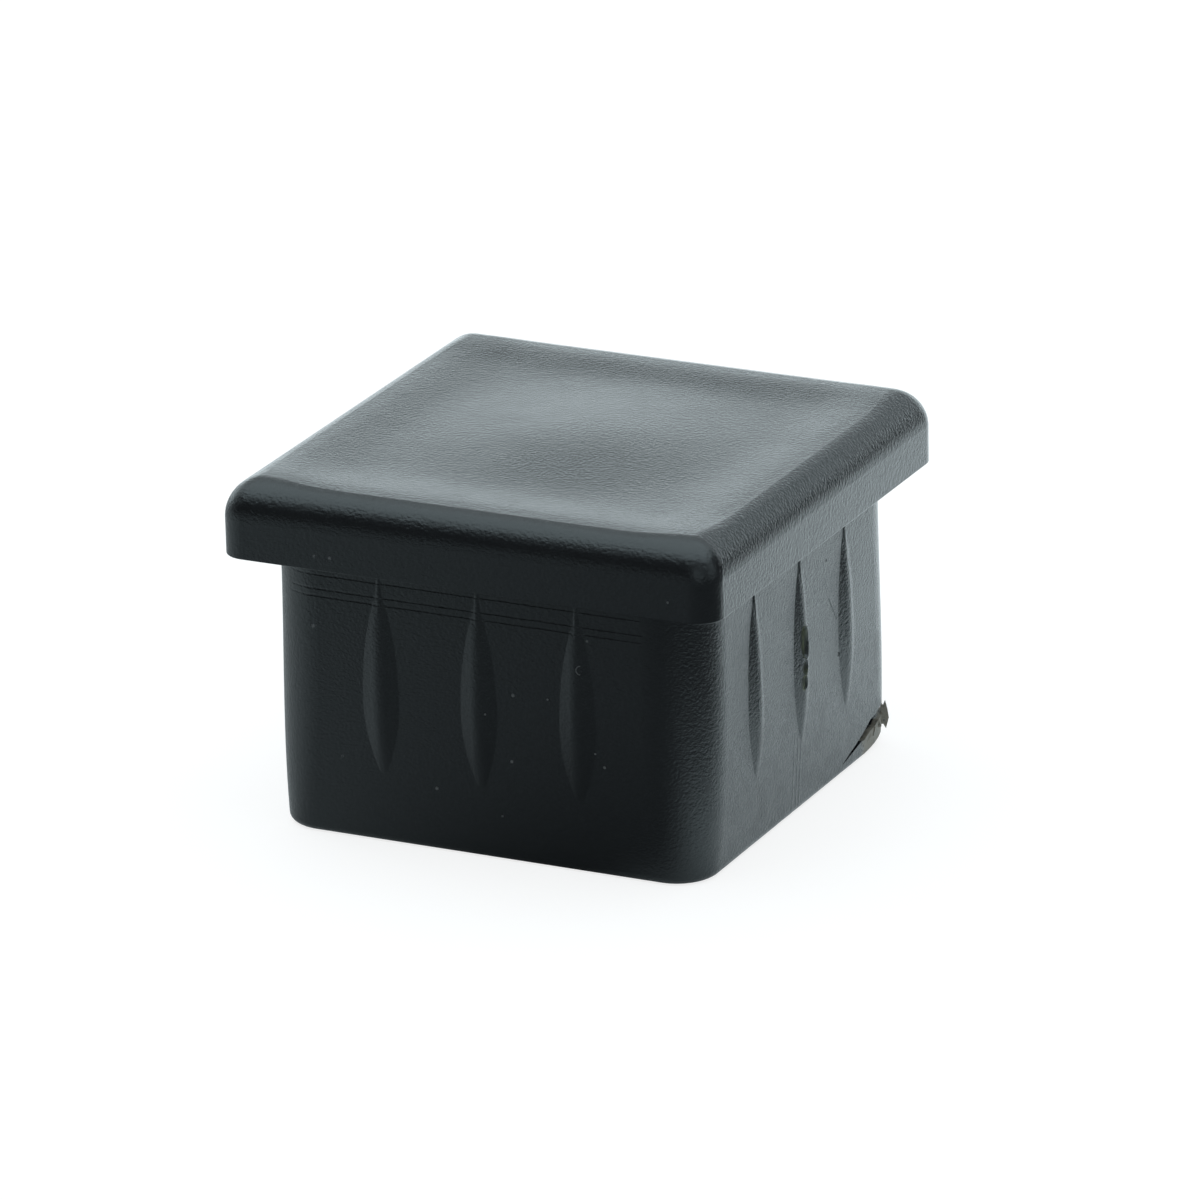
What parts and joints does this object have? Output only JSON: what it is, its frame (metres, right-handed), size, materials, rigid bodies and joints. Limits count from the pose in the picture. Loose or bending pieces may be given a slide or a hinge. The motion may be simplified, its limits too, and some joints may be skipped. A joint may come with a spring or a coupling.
{
  "type": "square tube end cap",
  "caption": "Square push-in end cap for a square metal tube: a domed flat head on a hollow plug with pointed grip ribs.",
  "frame": {"origin": "centre of the plug's open rim, on the plane the cap stands on", "axes": "+Z out of the plug and up through the head; X and Y square to the plug's faces, with the gate scar on the +X face and the torn rim corner at +X +Y"},
  "size_m": [0.025, 0.025, 0.0173],
  "materials": {
    "cap_plastic": "black moulded polyethylene, fine satin grain on the head, smoother on the plug"
  },
  "bodies": {
    "root": {"end_cap": "cap_plastic"}
  },
  "joints": []
}
